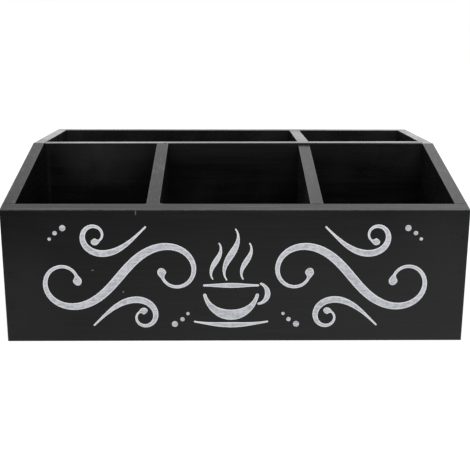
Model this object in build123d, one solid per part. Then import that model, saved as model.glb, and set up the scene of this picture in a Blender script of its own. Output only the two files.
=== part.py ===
from build123d import *
from math import cos, pi, radians, sin
import os

# Wooden organizer box with a sloped rim, three bins in front and two behind.
# Sizes are in millimetres. X runs along the front, Y from front to back and Z up.
# The origin is the middle of the footprint, on the surface that the box stands on.

# Outside of the box
box_width = 305.0
box_depth = 200.0
box_height = 120.0
front_height = 90.0
slope_run = 103.2

# Boards
front_thickness = 8.0
back_thickness = 8.5
side_thickness = 8.2
cross_thickness = 8.7
divider_thickness = 8.5
bottom_thickness = 6.0
edge_round = 0.35

# Hand work that shows. The right front divider ends a little low at the cross board. The cross
# board's top was planed askew, a little low at its left end and proud at its right end, and its
# front edge is sanded off in a bevel that widens towards the right end.
right_divider_drop = 1.2
cross_left_drop = 0.25
cross_right_rise = 0.45
bevel_length = 86.0
bevel_width = 1.9
bevel_height = 0.55

# Bins, measured between the boards. The middle front bin and the left rear bin take what is left.
left_bin_width = 85.8
right_bin_width = 86.7
rear_right_bin_width = 86.4

# Brads and the filler over their heads
brad_length = 25.0
brad_diameter = 1.2
brad_point = 1.5
brad_head_diameter = 2.0
brad_head_thickness = 0.6
brad_set_depth = 1.0
brad_clearance = 0.03
brad_edge_distance = 18.0
underside_edge_distance = 30.0
wall_brad_count = 3
divider_brad_count = 2
cross_brad_count = 4
wall_bottom_brad_count = 4
side_bottom_brad_count = 2

# Painted scroll on the front board: a steaming cup between two pairs of scrolls.
# In the tables all but the angles are shares of the scroll's height, measured from its middle.
# A stroke's heading is its direction halfway along, in degrees. Its turn angles are how far it
# turns at its start and its end, and the curl power keeps that for the very ends. A ball swells
# out of its stroke over a neck, which is given in radii of the ball.
scroll_height = 70.0
scroll_film = 0.15
neck_share = 1.6
station_count = 48
walk_step_count = 150

paired_stroke_shares = {
    "great scroll": dict(
        middle_shares=(1.093, 0), heading_angle=-50, turn_angles=(-480, 480), curl_power=2.8,
        length_share=2.914, widest_share=0.083, widest_at_share=0.5,
        finest_share=0.026, ball_shares=(0.041, 0.041),
    ),
    "upper scroll": dict(
        middle_shares=(1.343, 0.25), heading_angle=28, turn_angles=(0, 440), curl_power=2.6,
        length_share=1.2, widest_share=0.063, widest_at_share=0.42,
        finest_share=0.017, ball_shares=(0, 0.033),
    ),
}
cup_stroke_shares = {
    "bowl": dict(
        middle_shares=(-0.043, -0.379), heading_angle=0, turn_angles=(80, 80), curl_power=1,
        length_share=0.714, widest_share=0.1, widest_at_share=0.5,
        finest_share=0.031, ball_shares=(0, 0),
    ),
    "rim": dict(
        middle_shares=(-0.043, -0.086), heading_angle=0, turn_angles=(0, 0), curl_power=1,
        length_share=0.529, widest_share=0.046, widest_at_share=0.5,
        finest_share=0.02, ball_shares=(0, 0),
    ),
    "handle": dict(
        middle_shares=(0.303, -0.177), heading_angle=-96, turn_angles=(-88, -70), curl_power=1,
        length_share=0.286, widest_share=0.051, widest_at_share=0.5,
        finest_share=0.021, ball_shares=(0, 0),
    ),
    "saucer": dict(
        middle_shares=(-0.043, -0.48), heading_angle=0, turn_angles=(11, 11), curl_power=1,
        length_share=0.714, widest_share=0.051, widest_at_share=0.5,
        finest_share=0.017, ball_shares=(0, 0),
    ),
    "left steam": dict(
        middle_shares=(-0.186, 0.15), heading_angle=58, turn_angles=(-190, 190), curl_power=1.7,
        length_share=0.386, widest_share=0.049, widest_at_share=0.5,
        finest_share=0.013, ball_shares=(0, 0),
    ),
    "middle steam": dict(
        middle_shares=(-0.043, 0.214), heading_angle=58, turn_angles=(-190, 190), curl_power=1.7,
        length_share=0.543, widest_share=0.063, widest_at_share=0.5,
        finest_share=0.013, ball_shares=(0, 0),
    ),
    "right steam": dict(
        middle_shares=(0.1, 0.15), heading_angle=58, turn_angles=(-190, 190), curl_power=1.7,
        length_share=0.386, widest_share=0.049, widest_at_share=0.5,
        finest_share=0.013, ball_shares=(0, 0),
    ),
}
paired_dot_shares = [
    (1.607, 0.471, 0.029),
    (1.68, 0.423, 0.021),
    (1.733, 0.366, 0.016),
]

front_y = -box_depth / 2
back_y = box_depth / 2
left_x = -box_width / 2
right_x = box_width / 2
front_inner_y = front_y + front_thickness
back_inner_y = back_y - back_thickness
left_inner_x = left_x + side_thickness
right_inner_x = right_x - side_thickness
cross_front_y = front_y + slope_run
cross_back_y = cross_front_y + cross_thickness
slope = (box_height - front_height) / slope_run

left_divider_x = left_inner_x + left_bin_width + divider_thickness / 2
right_divider_x = right_inner_x - right_bin_width - divider_thickness / 2
rear_divider_x = right_inner_x - rear_right_bin_width - divider_thickness / 2
left_side_x = left_x + side_thickness / 2
right_side_x = right_x - side_thickness / 2
cross_y = cross_front_y + cross_thickness / 2
bottom_z = bottom_thickness / 2


def rim_height(y):
    """Height of the rim at a place between front and back."""
    return min(front_height + slope * (y - front_y), box_height)


def board_across(outline, low_x, high_x):
    """A board whose outline lies in the YZ plane, running along X."""
    face = Plane.YZ.offset(low_x) * Polygon(*outline, align=None)
    return extrude(face, amount=high_x - low_x)


def block(low, high):
    """A rectangular board between two corners."""
    size = [high[i] - low[i] for i in range(3)]
    middle = [(high[i] + low[i]) / 2 for i in range(3)]
    return Pos(*middle) * Box(*size)


def rounded(board, is_exposed):
    """The board with its exposed edges eased, as sanding leaves them."""
    radius = min(edge_round, front_thickness / 3, side_thickness / 3, back_thickness / 3)
    return fillet(board.edges().filter_by(is_exposed), radius)


def lies_at(place, value):
    return abs(place - value) < edge_round / 10


def on_outside(edge, is_side_edge):
    """Whether an edge of a front or back board is on the outside of the finished box."""
    box = edge.bounding_box()
    at_end = lies_at(box.min.X, left_x) and lies_at(box.max.X, left_x)
    at_end = at_end or (lies_at(box.min.X, right_x) and lies_at(box.max.X, right_x))
    on_top = box.min.Z > front_height - edge_round
    return is_side_edge(box) or (at_end and on_top)


def front_board():
    outline = [
        (front_y, 0),
        (front_inner_y, 0),
        (front_inner_y, rim_height(front_inner_y)),
        (front_y, front_height),
    ]
    board = board_across(outline, left_x, right_x)
    return rounded(board, lambda edge: on_outside(edge, lambda box: lies_at(box.max.Y, front_y)))


def back_board():
    board = block((left_x, back_inner_y, 0), (right_x, back_y, box_height))
    return rounded(board, lambda edge: on_outside(edge, lambda box: lies_at(box.min.Y, back_y)))


def side_board(low_x, high_x, outer_x):
    """A five-cornered side between the front and back boards."""
    outline = [
        (front_inner_y, 0),
        (back_inner_y, 0),
        (back_inner_y, box_height),
        (cross_front_y, box_height),
        (front_inner_y, rim_height(front_inner_y)),
    ]
    board = board_across(outline, low_x, high_x)

    def is_outer_edge(edge):
        box = edge.bounding_box()
        on_face = lies_at(box.min.X, outer_x) and lies_at(box.max.X, outer_x)
        runs_back = box.max.Y - box.min.Y > side_thickness
        return on_face and runs_back

    return rounded(board, is_outer_edge)


def cross_top(x):
    """Height of the cross board's top, planed askew, at a place along it."""
    along_share = (x - left_inner_x) / (right_inner_x - left_inner_x)
    return box_height - cross_left_drop + (cross_left_drop + cross_right_rise) * along_share


def cross_board():
    """The long inner board, its top askew, with the bevel that sanding left on its front edge."""
    outline = [
        (left_inner_x, bottom_thickness),
        (right_inner_x, bottom_thickness),
        (right_inner_x, cross_top(right_inner_x)),
        (left_inner_x, cross_top(left_inner_x)),
    ]
    face = Plane.XZ.offset(-cross_front_y) * Polygon(*outline, align=None)
    board = extrude(face, amount=cross_thickness, dir=(0, 1, 0))
    start_x = right_inner_x - bevel_length
    top_y = cross_front_y + bevel_width
    start = Vector(start_x, cross_front_y, cross_top(start_x))
    top = Vector(right_inner_x, top_y, cross_top(right_inner_x))
    low = Vector(right_inner_x, cross_front_y, cross_top(right_inner_x) - bevel_height)
    bevel = Plane(origin=start, x_dir=top - start, z_dir=(low - start).cross(top - start))
    return split(board, bisect_by=bevel, keep=Keep.BOTTOM)


def front_divider(middle_x, rear_drop):
    """A divider from the front board to the cross board, its top on the slope or a little under."""
    outline = [
        (front_inner_y, bottom_thickness),
        (cross_front_y, bottom_thickness),
        (cross_front_y, box_height - rear_drop),
        (front_inner_y, rim_height(front_inner_y)),
    ]
    return board_across(outline, middle_x - divider_thickness / 2, middle_x + divider_thickness / 2)


def brad_shape(radius_gap, length_gap):
    """A brad along -Z, with its hole's mouth at the origin. The gaps make it into its hole."""
    head = brad_head_diameter / 2 + radius_gap
    shank = brad_diameter / 2 + radius_gap
    head_top = -brad_set_depth
    head_base = head_top - brad_head_thickness - length_gap
    tip = head_top - brad_length - length_gap
    point_start = tip + brad_point
    outline = [
        (0, head_top),
        (head, head_top),
        (head, head_base),
        (shank, head_base),
        (shank, point_start),
        (0, tip),
    ]
    return revolve(Plane.XZ * Polygon(*outline, align=None), Axis.Z)


def filler_shape(radius):
    """The filler from the surface down to the brad's head."""
    return Pos(0, 0, -brad_set_depth / 2) * Cylinder(radius, brad_set_depth)


def spread(low, high, count, inset=brad_edge_distance):
    """Places between two ends, the outer ones set in from the ends."""
    first = low + inset
    last = high - inset
    return [first + (last - first) * i / (count - 1) for i in range(count)]


def driven(points, outward):
    """A plane at each brad's mouth, facing out of the board."""
    return [Plane(origin=point, z_dir=outward) for point in points]


def from_front(middle_x, count):
    heights = spread(bottom_thickness, front_height, count)
    return driven([(middle_x, front_y, z) for z in heights], (0, -1, 0))


def from_back(middle_x, count):
    heights = spread(bottom_thickness, box_height, count)
    return driven([(middle_x, back_y, z) for z in heights], (0, 1, 0))


def wall_heights_from_side(outer_x, outward):
    heights = spread(bottom_thickness, box_height, wall_brad_count)
    return driven([(outer_x, cross_y, z) for z in heights], outward)


def from_behind_cross(middle_x):
    heights = spread(bottom_thickness, box_height, divider_brad_count)
    return driven([(middle_x, cross_back_y, z) for z in heights], (0, 1, 0))


def into_bottom_edge():
    along_x = spread(left_inner_x, right_inner_x, wall_bottom_brad_count)
    along_y = spread(front_inner_y, back_inner_y, side_bottom_brad_count)
    planes = driven([(x, front_y, bottom_z) for x in along_x], (0, -1, 0))
    planes += driven([(x, back_y, bottom_z) for x in along_x], (0, 1, 0))
    planes += driven([(left_x, y, bottom_z) for y in along_y], (-1, 0, 0))
    planes += driven([(right_x, y, bottom_z) for y in along_y], (1, 0, 0))
    return planes


def from_below():
    """Brads up into the inner boards, far enough in to clear the level ones."""
    inset = underside_edge_distance
    along_x = spread(left_inner_x, right_inner_x, cross_brad_count, inset)
    along_front = spread(front_inner_y, cross_front_y, divider_brad_count, inset)
    along_rear = spread(cross_back_y, back_inner_y, divider_brad_count, inset)
    points = [(x, cross_y, 0) for x in along_x]
    points += [(x, y, 0) for x in (left_divider_x, right_divider_x) for y in along_front]
    points += [(rear_divider_x, y, 0) for y in along_rear]
    return driven(points, (0, 0, -1))


def brad_groups():
    """The brads by the joints that they hold, each as a list of planes at their mouths."""
    return {
        "front_corner_brads": from_front(left_side_x, wall_brad_count)
        + from_front(right_side_x, wall_brad_count),
        "back_corner_brads": from_back(left_side_x, wall_brad_count)
        + from_back(right_side_x, wall_brad_count),
        "cross_board_brads": wall_heights_from_side(left_x, (-1, 0, 0))
        + wall_heights_from_side(right_x, (1, 0, 0)),
        "divider_brads": from_front(left_divider_x, divider_brad_count)
        + from_front(right_divider_x, divider_brad_count)
        + from_behind_cross(left_divider_x)
        + from_behind_cross(right_divider_x)
        + from_back(rear_divider_x, divider_brad_count),
        "bottom_edge_brads": into_bottom_edge(),
        "underside_brads": from_below(),
    }


def placed(shape, planes):
    """Copies of a shape on each plane."""
    return [plane * shape for plane in planes]


def drilled(board, holes):
    """The board with every hole that reaches it."""
    box = board.bounding_box()

    def reaches(hole):
        other = hole.bounding_box()
        return all(
            low_a < high_b and low_b < high_a
            for low_a, high_a, low_b, high_b in zip(box.min, box.max, other.min, other.max)
        )

    touching = [hole for hole in holes if reaches(hole)]
    return board - touching if touching else board


def boards():
    return {
        "front_board": front_board(),
        "back_board": back_board(),
        "left_side": side_board(left_x, left_inner_x, left_x),
        "right_side": side_board(right_inner_x, right_x, right_x),
        "bottom_board": block(
            (left_inner_x, front_inner_y, 0), (right_inner_x, back_inner_y, bottom_thickness)
        ),
        "cross_board": cross_board(),
        "left_front_divider": front_divider(left_divider_x, 0),
        "right_front_divider": front_divider(right_divider_x, right_divider_drop),
        "rear_divider": block(
            (rear_divider_x - divider_thickness / 2, cross_back_y, bottom_thickness),
            (rear_divider_x + divider_thickness / 2, back_inner_y, box_height),
        ),
    }


def stroke_angle(stroke, way):
    """The stroke's direction at a share of the way along it, in radians."""
    curl = stroke["curl_power"]
    start_turn, end_turn = stroke["turn_angles"]
    from_start = (1 - way) ** curl - 0.5**curl
    from_end = way**curl - 0.5**curl
    return radians(stroke["heading_angle"] - start_turn * from_start + end_turn * from_end)


def half_width(stroke, way):
    """Half of the stroke's width at a share of the way along it, up to the middles of its balls."""
    widest_at = stroke["widest_at_share"]
    swelling = way / widest_at if way < widest_at else (1 - way) / (1 - widest_at)
    finest = stroke["finest_share"]
    half = (finest + (stroke["widest_share"] - finest) * sin(swelling * pi / 2) ** 2) / 2
    for from_end, ball in zip((way, 1 - way), stroke["ball_shares"]):
        from_ball = from_end * stroke["length_share"] - ball
        if from_ball < neck_share * ball:
            half += (ball - half) * (1 + cos(pi * from_ball / (neck_share * ball))) / 2
    return scroll_height * half


def stroke_place(stroke, way):
    """A point of the stroke's middle line, walked to from the point halfway along."""
    step = (way - 0.5) / walk_step_count
    x, z = stroke["middle_shares"]
    for i in range(walk_step_count):
        angle = stroke_angle(stroke, 0.5 + step * (i + 0.5))
        x += cos(angle) * step * stroke["length_share"]
        z += sin(angle) * step * stroke["length_share"]
    return Vector(x, z) * scroll_height


def stroke_face(stroke):
    """The stroke's outline, filled. Its stations crowd towards its ends, where it curls most."""
    ends = [ball or stroke["finest_share"] / 2 for ball in stroke["ball_shares"]]
    first_way = ends[0] / stroke["length_share"]
    last_way = 1 - ends[1] / stroke["length_share"]
    shares = [(1 - cos(pi * i / station_count)) / 2 for i in range(station_count + 1)]
    ways = [first_way + (last_way - first_way) * share for share in shares]
    line = [(way, stroke_place(stroke, way)) for way in ways]
    left = []
    right = []
    for way, place in line:
        angle = stroke_angle(stroke, way)
        across = Vector(-sin(angle), cos(angle)) * half_width(stroke, way)
        left.append(place + across)
        right.append(place - across)
    caps = []
    for (way, place), sense in ((line[0], -1), (line[-1], 1)):
        angle = stroke_angle(stroke, way)
        caps.append(place + Vector(cos(angle), sin(angle)) * sense * half_width(stroke, way))
    outline = [
        Spline(*left),
        ThreePointArc(left[-1], caps[1], right[-1]),
        Spline(*right[::-1]),
        ThreePointArc(right[0], caps[0], left[0]),
    ]
    return make_face(outline)


def turned_about_great_scroll(face):
    """A copy of the face, turned half a turn about the middle of the great scroll."""
    middle = Vector(*paired_stroke_shares["great scroll"]["middle_shares"]) * scroll_height
    return Pos(middle.X, middle.Y) * Rot(0, 0, 180) * Pos(-middle.X, -middle.Y) * face


def scroll_paint():
    """The film of paint on the front board, one solid for each stroke."""
    right_side = [stroke_face(stroke) for stroke in paired_stroke_shares.values()]
    right_side.append(turned_about_great_scroll(right_side[-1]))
    for x, z, radius in paired_dot_shares:
        dot = Pos(x * scroll_height, z * scroll_height) * Circle(radius * scroll_height)
        right_side += [dot, turned_about_great_scroll(dot)]
    faces = right_side + [mirror(face, about=Plane.YZ) for face in right_side]
    faces += [stroke_face(stroke) for stroke in cup_stroke_shares.values()]
    front = Plane(origin=(0, front_y, front_height / 2), x_dir=(1, 0, 0), z_dir=(0, -1, 0))
    return Compound(children=[extrude(front * face, amount=scroll_film, dir=(0, -1, 0)) for face in faces])


def all_parts():
    groups = brad_groups()
    planes = [plane for group in groups.values() for plane in group]
    brad = brad_shape(0, 0)
    brad_hole = brad_shape(brad_clearance, brad_clearance)
    mouth = filler_shape(brad_head_diameter / 2 + brad_clearance)
    holes = placed(brad_hole, planes) + placed(mouth, planes)
    parts = {name: drilled(board, holes) for name, board in boards().items()}
    for name, group in groups.items():
        parts[name] = Compound(children=placed(brad, group))
    parts["brad_filler"] = Compound(children=placed(filler_shape(brad_head_diameter / 2), planes))
    parts["scroll_paint"] = scroll_paint()
    return parts


os.makedirs("parts", exist_ok=True)
for name, part in all_parts().items():
    export_step(part, f"parts/{name}.step")
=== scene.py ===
"""Dresses a wooden organizer box: satin black paint over sawn boards, with a scroll and a steaming
cup brushed on the front in white. Every length is in metres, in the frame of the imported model."""

from math import cos, pi, radians, sin

import bmesh
import bpy
from bpy.props import FloatProperty, FloatVectorProperty, IntProperty, PointerProperty
from mathutils import Matrix, Vector


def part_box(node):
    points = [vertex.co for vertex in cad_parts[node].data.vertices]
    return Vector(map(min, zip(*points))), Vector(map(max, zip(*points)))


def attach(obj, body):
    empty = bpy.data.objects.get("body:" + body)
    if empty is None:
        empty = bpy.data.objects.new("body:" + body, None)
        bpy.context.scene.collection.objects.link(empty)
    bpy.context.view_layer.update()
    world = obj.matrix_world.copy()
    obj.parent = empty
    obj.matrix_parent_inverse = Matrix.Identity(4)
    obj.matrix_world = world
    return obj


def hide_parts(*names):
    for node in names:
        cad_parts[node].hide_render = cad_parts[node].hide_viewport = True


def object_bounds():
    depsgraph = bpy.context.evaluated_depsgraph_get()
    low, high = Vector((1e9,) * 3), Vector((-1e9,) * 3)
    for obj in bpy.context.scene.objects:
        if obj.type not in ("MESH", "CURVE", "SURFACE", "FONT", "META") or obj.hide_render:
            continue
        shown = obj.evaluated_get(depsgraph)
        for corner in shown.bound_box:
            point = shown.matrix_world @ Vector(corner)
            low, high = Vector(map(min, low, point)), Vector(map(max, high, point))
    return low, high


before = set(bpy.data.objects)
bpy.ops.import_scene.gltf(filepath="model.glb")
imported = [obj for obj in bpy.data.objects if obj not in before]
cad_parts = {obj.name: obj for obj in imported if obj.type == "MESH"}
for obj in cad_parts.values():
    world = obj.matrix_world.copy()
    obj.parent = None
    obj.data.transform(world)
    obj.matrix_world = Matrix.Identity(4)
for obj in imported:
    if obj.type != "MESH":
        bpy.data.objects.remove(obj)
cad_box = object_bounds()

bl_info = {
    "name": "Painted Organizer Box",
    "version": (1, 0, 0),
    "blender": (4, 5, 0),
    "location": "View3D > Sidebar > Organizer",
    "description": "Paints the boards of an organizer box and brushes a scroll on its front",
    "category": "Object",
}

MM = 0.001
ORIGIN = (0.0, 0.0, 0.0)
INSIDE_ATTRIBUTE = "inside"

# Boards whose length runs across the box, and boards whose length runs from front to back, each
# with the axes along which its edges, besides its rim, carry wear and a painted highlight
BOARDS_ACROSS = {"front_board": "XY", "back_board": "XY", "cross_board": "Y", "bottom_board": ""}
BOARDS_BACK = {
    "left_side": "X",
    "right_side": "X",
    "left_front_divider": "X",
    "right_front_divider": "X",
    "rear_divider": "X",
}
BRAD_NODES = (
    "front_corner_brads",
    "back_corner_brads",
    "cross_board_brads",
    "divider_brads",
    "bottom_edge_brads",
    "underside_brads",
)
FILLER_NODE = "brad_filler"
SCROLL_NODE = "scroll_paint"

FRONT_LOW, FRONT_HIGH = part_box("front_board")
SIDE_LOW, SIDE_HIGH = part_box("right_side")
DIVIDER_LOW, DIVIDER_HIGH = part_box("left_front_divider")
RIGHT_DIVIDER_LOW, RIGHT_DIVIDER_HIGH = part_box("right_front_divider")
FRONT_Y = FRONT_LOW.y
FRONT_INNER_Y = FRONT_HIGH.y
BACK_INNER_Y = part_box("back_board")[0].y
SIDE_INNER_X = SIDE_LOW.x
CROSS_FRONT_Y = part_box("cross_board")[0].y
LEFT_DIVIDER_X = (DIVIDER_LOW.x + DIVIDER_HIGH.x) / 2

# The rim rises in one slope from the face of the front board to the rear end of the left divider
FRONT_HEIGHT = 0.09
SLOPE = (DIVIDER_HIGH.z - FRONT_HEIGHT) / (DIVIDER_HIGH.y - FRONT_Y)

# Patches on the boards, each a middle, a reach along every axis and a strength. The sheens are painted
# sheen: lighter black that stands in for soft reflections and light in the bins and on the front.
# Scuffs are where the paint is rubbed through, and nicks are chips with a dark hollow.
PAINTED_SHEENS = {
    "cross_board": (
        ((-0.1, CROSS_FRONT_Y, 0.111), (0.036, 0.01, 0.03), 0.95),
        ((-0.142, CROSS_FRONT_Y, 0.09), (0.002, 0.01, 0.04), 0.4),
        ((0.13, CROSS_FRONT_Y, 0.112), (0.035, 0.01, 0.025), 0.3),
    ),
    "front_board": (
        ((-0.15, FRONT_Y, 0.03), (0.045, 0.01, 0.05), 0.5),
        ((0.145, FRONT_Y, 0.07), (0.05, 0.01, 0.05), 0.35),
    ),
    "back_board": (
        ((0.0, BACK_INNER_Y, 0.11), (0.4, 0.01, 0.1), 0.4),
        ((-0.14, BACK_INNER_Y, 0.11), (0.04, 0.01, 0.1), 0.9),
        ((0.135, BACK_INNER_Y, 0.11), (0.04, 0.01, 0.1), 0.5),
    ),
    "left_side": (((-SIDE_INNER_X, 0.06, 0.11), (0.01, 0.08, 0.06), 0.5),),
    "right_front_divider": (((RIGHT_DIVIDER_LOW.x, -0.05, 0.07), (0.01, 0.12, 0.09), 1.0),),
    "right_side": (
        ((SIDE_INNER_X, -0.04, 0.09), (0.01, 0.08, 0.06), 0.5),
        ((SIDE_INNER_X, 0.07, 0.11), (0.01, 0.04, 0.06), 0.3),
    ),
}
SCUFFS = {
    "front_board": (
        ((-0.06485, FRONT_Y, 0.0881), (0.0005, 0.01, 0.0022), 0.45),
        ((-0.0743, FRONT_Y, 0.0346), (0.0007, 0.01, 0.0009), 0.6),
        ((-0.094, FRONT_Y, 0.0495), (0.0012, 0.01, 0.0006), 0.5),
    ),
}
# The nick is where the left divider meets the cross board, so both boards have it
DIVIDER_NICK = (
    (LEFT_DIVIDER_X + 0.0021, CROSS_FRONT_Y, DIVIDER_HIGH.z + 0.0002),
    (0.0016, 0.002, 0.0016),
    1.0,
)
NICKS = {
    "left_front_divider": (DIVIDER_NICK,),
    "cross_board": (DIVIDER_NICK,),
}

# The painted scroll. In the tables places, lengths, widths and balls are shares of the scroll's
# height, measured from its middle, and widest_at_share is a share of the stroke's length. A stroke's
# heading is its direction halfway along, in degrees. Its turn angles are how far it turns at its
# start and its end, and the curl power keeps that for the very ends. A ball swells out of its stroke
# over a neck, which is given in radii of the ball.
SCROLL_HEIGHT = 0.07
SCROLL_MIDDLE_Z = FRONT_HEIGHT / 2
NECK_SHARE = 1.6
WALK_STEPS = 150
PAIRED_STROKE_SHARES = {
    "great scroll": dict(
        middle_shares=(1.093, 0), heading_angle=-50, turn_angles=(-480, 480), curl_power=2.8,
        length_share=2.914, widest_share=0.083, widest_at_share=0.5,
        finest_share=0.026, ball_shares=(0.041, 0.041),
    ),
    "upper scroll": dict(
        middle_shares=(1.343, 0.25), heading_angle=28, turn_angles=(0, 440), curl_power=2.6,
        length_share=1.2, widest_share=0.063, widest_at_share=0.42,
        finest_share=0.017, ball_shares=(0, 0.033),
    ),
}
CUP_X_SHARE = -0.043
PLAIN_SHARES = dict(curl_power=1, widest_at_share=0.5, ball_shares=(0, 0))
STEAM_SHARES = dict(
    PLAIN_SHARES, heading_angle=58, turn_angles=(-190, 190), curl_power=1.7,
    length_share=0.386, widest_share=0.049, finest_share=0.013,
)
CUP_STROKE_SHARES = {
    "bowl": dict(
        PLAIN_SHARES, middle_shares=(CUP_X_SHARE, -0.379), heading_angle=0, turn_angles=(80, 80),
        length_share=0.714, widest_share=0.1, finest_share=0.031,
    ),
    "rim": dict(
        PLAIN_SHARES, middle_shares=(CUP_X_SHARE, -0.086), heading_angle=0, turn_angles=(0, 0),
        length_share=0.529, widest_share=0.046, finest_share=0.02,
    ),
    "handle": dict(
        PLAIN_SHARES, middle_shares=(0.303, -0.177), heading_angle=-96, turn_angles=(-88, -70),
        length_share=0.286, widest_share=0.051, finest_share=0.021,
    ),
    "saucer": dict(
        PLAIN_SHARES, middle_shares=(CUP_X_SHARE, -0.48), heading_angle=0, turn_angles=(11, 11),
        length_share=0.714, widest_share=0.051, finest_share=0.017,
    ),
    "left steam": dict(STEAM_SHARES, middle_shares=(-0.186, 0.15)),
    "middle steam": dict(
        STEAM_SHARES, middle_shares=(CUP_X_SHARE, 0.214), length_share=0.543, widest_share=0.063
    ),
    "right steam": dict(STEAM_SHARES, middle_shares=(0.1, 0.15)),
}
# Each dot is a place across, a place up and a radius
PAIRED_DOT_SHARES = ((1.607, 0.471, 0.029), (1.68, 0.423, 0.021), (1.733, 0.366, 0.016))

# How the strokes, the dots and the filler are shaped: what the film keeps of its thickness at a rim,
# how wide a dot's rim is in its radius, how near a stroke's tips merge, and the steps of a bead
FILM_RIM_SHARE = 0.55
DOT_RIM_SHARE = 0.3
MERGE_DISTANCE = MM / 100
BEAD_STEPS = 8

# The noises of the finishes, each a scale, a detail and a roughness
NOISES = {
    "grain": (420.0, 4.0, 0.62),
    "brush": (1500.0, 2.0, 0.5),
    "clouds": (26.0, 3.0, 0.55),
    "pimples": (900.0, 2.0, 0.5),
    "seams": (160.0, 2.0, 0.5),
    "edges": (260.0, 3.0, 0.5),
    "dry streaks": (950.0, 3.0, 0.6),
    "dry mottle": (380.0, 3.0, 0.55),
    "dry clouds": (60.0, 2.0, 0.5),
    "wire": (2200.0, 2.0, 0.5),
}
NOISE_MIDDLE = 0.5

# How fast the grain and the dry strokes change along their length, as a share of how fast across it
GRAIN_ALONG_SHARE = 0.035
DRY_ALONG_SHARE = 0.16

# What the brush marks and the pimples add to the height of the grain
BRUSH_HEIGHT_SHARE = 0.35
PIMPLE_HEIGHT_SHARE = 0.25

# What each noise gives to the cover of the white paint
STREAK_COVER_SHARE = 0.5
MOTTLE_COVER_SHARE = 0.35
CLOUD_COVER_SHARE = 0.15

# From where to where in a noise an effect comes in. The last two are of how far a face looks up, and
# of the millimetres in from a stroke's edge.
THIN_PAINT_RANGE = (0.36, 0.66)
RUBBED_RANGE = (0.84, 0.98)
SHEEN_RANGE = (0.3, 0.6)
GLOSS_RANGE = (0.3, 0.7)
PATCHY_RANGE = (0.35, 0.6)
COVER_RANGE = (0.42, 0.57)
UPWARD_RANGE = (0.5, 0.9)
RIM_AND_HIGHLIGHT_RANGE = (0.25, 0.8)

# What is left of an effect between its patches
LEAST_SHEEN = 0.3
LEAST_SEAM = 0.25
LEAST_EDGE = 0.3

# Which share of a band, a spot or an edge's wear and painted highlight is at full strength
BAND_CORE_SHARE = 0.4
SPOT_CORE_SHARE = 0.2
EDGE_CORE_SHARE = 0.3

SEAM_HALF_WIDTH = 0.6 * MM
SCUFF_GREY = (0.3, 0.3, 0.3)
BLACK_PAINT_IOR = 1.48
WHITE_ROUGHNESS = (0.62, 0.5)
WHITE_DEPTH = 0.03 * MM
WIRE_COLOURS = ((0.42, 0.42, 0.43), (0.6, 0.6, 0.61))
WIRE_ROUGHNESS = (0.25, 0.45)

# The floor: which share of the box's width and depth is open under it, its own light and its grey
# to the camera, and its grey to other light
FLOOR_OPENING = 0.98
FLOOR_LIGHT = 0.7
FLOOR_GREY = (0.45, 0.45, 0.45, 1.0)
FLOOR_BOUNCE_GREY = (0.5, 0.5, 0.5, 1.0)

# The floor in the gloss: its level at the box, the distances and the power with which it leaves that
# level, and the depths over which it turns from the front's level to the backdrop's. For every metre
# to the right, the front lean is added to the front's level, and the right lean is the share by which
# the whole floor brightens.
FLOOR_NEAR_LEVEL = 0.57
FLOOR_DISTANCE_RANGE = (0.1, 0.9)
FLOOR_DISTANCE_POWER = 1.3
FLOOR_DEPTH_RANGE = (-0.3, 0.5)
FLOOR_FRONT_LEAN = -0.3
FLOOR_RIGHT_LEAN = 1.6

# The room in the gloss, by the parts of the direction that is looked in: how the levels before and
# behind the box change with height, how the backdrop brightens to the left and right when it is
# looked at low, its gain when looked at high, the depths between the front and the backdrop, and the
# least lean to the right
ROOM_FRONT_RISE = 1.5
ROOM_BACKDROP_RISE = -0.216
ROOM_LEFT_RANGE = (-0.2, -0.05)
ROOM_LEFT_GAINS = (1.22, 0.9)
ROOM_RIGHT_RANGE = (0.1, 0.25)
ROOM_RIGHT_GAINS = (0.9, 1.26)
ROOM_HEIGHT_RANGE = (0.2, 0.5)
ROOM_HIGH_GAIN = 1.1
ROOM_DEPTH_RANGE = (-0.3, 0.3)
ROOM_LEAST_LEAN = 0.05

CAMERA_SENSOR = 36.0
CAMERA_NEAREST = 0.01

# A Mix node's sockets for colours, which have the same names as those for numbers
MIX_LOW_COLOUR = 6
MIX_HIGH_COLOUR = 7
MIX_RESULT_COLOUR = 2


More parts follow.
